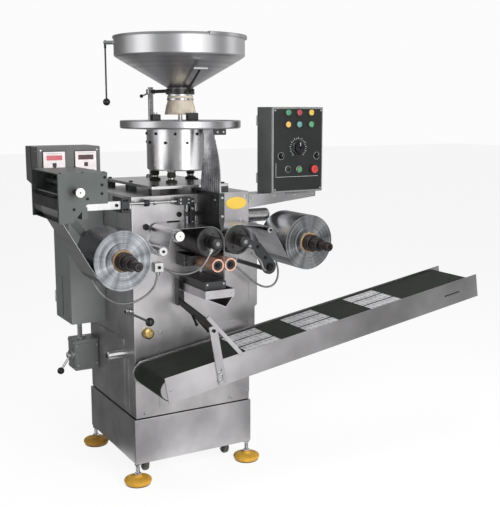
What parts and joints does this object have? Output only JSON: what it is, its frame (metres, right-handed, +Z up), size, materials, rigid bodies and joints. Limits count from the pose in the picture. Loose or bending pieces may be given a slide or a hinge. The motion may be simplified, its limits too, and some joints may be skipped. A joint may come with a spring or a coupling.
{
  "type": "strip packing machine",
  "caption": "Free-standing strip packing machine with hopper, round feeder, heated sealing rollers, foil reels, control box and an inclined belt conveyor.",
  "frame": {"origin": "on the floor under the middle of the plinth", "axes": "+X to the right along the front, +Y from the operator's side into the machine, +Z up"},
  "size_m": [2.1493, 1.027, 2.019],
  "materials": {
    "stainless": "satin, vertical brush",
    "polished": "polished",
    "bright_steel": "machined",
    "dark_steel": "dark machined",
    "foil": "bright foil",
    "silicone": "satin silicone",
    "black_paint": "satin black",
    "charcoal_paint": "satin charcoal",
    "grey_paint": "satin grey",
    "yellow_pad": "matte yellow",
    "belt": "matte dark green-black",
    "brass": "satin",
    "black_plastic": "gloss black",
    "wheel_plastic": "matte cream",
    "boot_fabric": "matte beige",
    "conduit_steel": "spiral metal hose"
  },
  "bodies": {
    "machine": {"plinth": "stainless", "levelling_feet": "yellow_pad", "caster_forks": "dark_steel", "cabinet_body": "stainless", "cabinet_covers": "stainless", "brass_knob": "brass", "feeder_plate": "stainless", "feeder_drum": "polished", "bowl_disc": "stainless", "disc_fittings": "black_plastic", "hopper": "stainless", "hopper_lid": "stainless", "hopper_boot": "boot_fabric", "hopper_stand": "bright_steel", "feed_tracks": "bright_steel", "feed_block": "dark_steel", "front_bearings": "dark_steel", "slip_rings": "dark_steel", "roller_arm": "black_paint", "guide_rollers": "dark_steel", "left_foil": "foil", "right_foil": "foil", "printing_frame": "grey_paint", "printing_rollers": "dark_steel", "support_arms": "bright_steel", "register_shaft": "bright_steel", "cutter_box": "black_paint", "delivery_tray": "stainless", "conveyor_sides": "stainless", "conveyor_bed": "bright_steel", "conveyor_belt": "belt", "conveyor_standoffs": "bright_steel", "conveyor_hanger": "bright_steel", "foil_strips": "foil", "electrical_box": "grey_paint", "temperature_box": "grey_paint", "temperature_controllers": "black_plastic", "gearbox_housing": "grey_paint", "control_box": "charcoal_paint", "control_arm": "stainless", "panel_controls": "black_plastic", "conduit_left_feed": "conduit_steel", "conduit_left_loop": "conduit_steel", "conduit_right_loop": "conduit_steel"},
    "seal_left": {"seal_roller_left": "dark_steel"},
    "seal_right": {"seal_roller_right": "dark_steel"},
    "pull_left": {"pull_roller_left": "silicone"},
    "pull_right": {"pull_roller_right": "silicone"},
    "reel_left": {"left_reel": "foil"},
    "reel_right": {"right_reel": "foil"},
    "clutch": {"clutch_lever": "black_plastic"},
    "crank": {"crank_lever": "black_plastic"},
    "hanger_rod": {"hanging_rod": "bright_steel"},
    "shutter": {"shutter_lever": "bright_steel"},
    "speed": {"speed_knob": "black_plastic"},
    "wheel_front_left": {"caster_wheel_front_left": "wheel_plastic"},
    "wheel_front_right": {"caster_wheel_front_right": "wheel_plastic"},
    "wheel_back_left": {"caster_wheel_back_left": "wheel_plastic"},
    "wheel_back_right": {"caster_wheel_back_right": "wheel_plastic"}
  },
  "joints": [
    {"name": "seal_left_turn", "type": "hinge", "parent": "machine", "child": "seal_left", "pos_m": [-0.029, -0.41, 1.128], "axis": [0, 1, 0], "continuous": true},
    {"name": "seal_right_turn", "type": "hinge", "parent": "machine", "child": "seal_right", "pos_m": [0.105, -0.41, 1.128], "axis": [0, 1, 0], "continuous": true},
    {"name": "pull_left_turn", "type": "hinge", "parent": "machine", "child": "pull_left", "pos_m": [0.007, -0.41, 1.022], "axis": [0, 1, 0], "continuous": true},
    {"name": "pull_right_turn", "type": "hinge", "parent": "machine", "child": "pull_right", "pos_m": [0.069, -0.41, 1.022], "axis": [0, 1, 0], "continuous": true},
    {"name": "reel_left_turn", "type": "hinge", "parent": "machine", "child": "reel_left", "pos_m": [-0.425, -0.41, 1.08], "axis": [0, 1, 0], "continuous": true},
    {"name": "reel_right_turn", "type": "hinge", "parent": "machine", "child": "reel_right", "pos_m": [0.474, -0.41, 1.089], "axis": [0, 1, 0], "continuous": true},
    {"name": "clutch_swing", "type": "hinge", "parent": "machine", "child": "clutch", "pos_m": [-0.3113, -0.258, 0.803], "axis": [1, 0, 0], "range_deg": [-15, 30]},
    {"name": "crank_swing", "type": "hinge", "parent": "machine", "child": "crank", "pos_m": [-0.4343, 0.212, 0.505], "axis": [1, 0, 0], "range_deg": [-90, 90]},
    {"name": "rod_swing", "type": "hinge", "parent": "machine", "child": "hanger_rod", "pos_m": [-0.23445, 0.12, 1.99], "axis": [-0.866, 0.5, 0], "range_deg": [-30, 30]},
    {"name": "shutter_swing", "type": "hinge", "parent": "machine", "child": "shutter", "pos_m": [0.06, -0.05, 1.7592], "axis": [0, 0, 1], "range_deg": [0, 45]},
    {"name": "speed_turn", "type": "hinge", "parent": "machine", "child": "speed", "pos_m": [0.554, -0.31, 1.508], "axis": [0, -1, 0], "range_deg": [-135, 135]},
    {"name": "wheel_front_left_roll", "type": "hinge", "parent": "machine", "child": "wheel_front_left", "pos_m": [-0.211, -0.182, 0.048], "axis": [1, 0, 0], "continuous": true},
    {"name": "wheel_front_right_roll", "type": "hinge", "parent": "machine", "child": "wheel_front_right", "pos_m": [0.211, -0.182, 0.048], "axis": [1, 0, 0], "continuous": true},
    {"name": "wheel_back_left_roll", "type": "hinge", "parent": "machine", "child": "wheel_back_left", "pos_m": [-0.211, 0.182, 0.048], "axis": [1, 0, 0], "continuous": true},
    {"name": "wheel_back_right_roll", "type": "hinge", "parent": "machine", "child": "wheel_back_right", "pos_m": [0.211, 0.182, 0.048], "axis": [1, 0, 0], "continuous": true}
  ],
  "couplings": [
    {"joint": "seal_right_turn", "follows": "seal_left_turn", "ratio": -1},
    {"joint": "pull_left_turn", "follows": "seal_left_turn", "ratio": 2.2632},
    {"joint": "pull_right_turn", "follows": "seal_left_turn", "ratio": -2.2632},
    {"joint": "reel_left_turn", "follows": "seal_left_turn", "ratio": 0.516},
    {"joint": "reel_right_turn", "follows": "seal_left_turn", "ratio": 0.516}
  ]
}
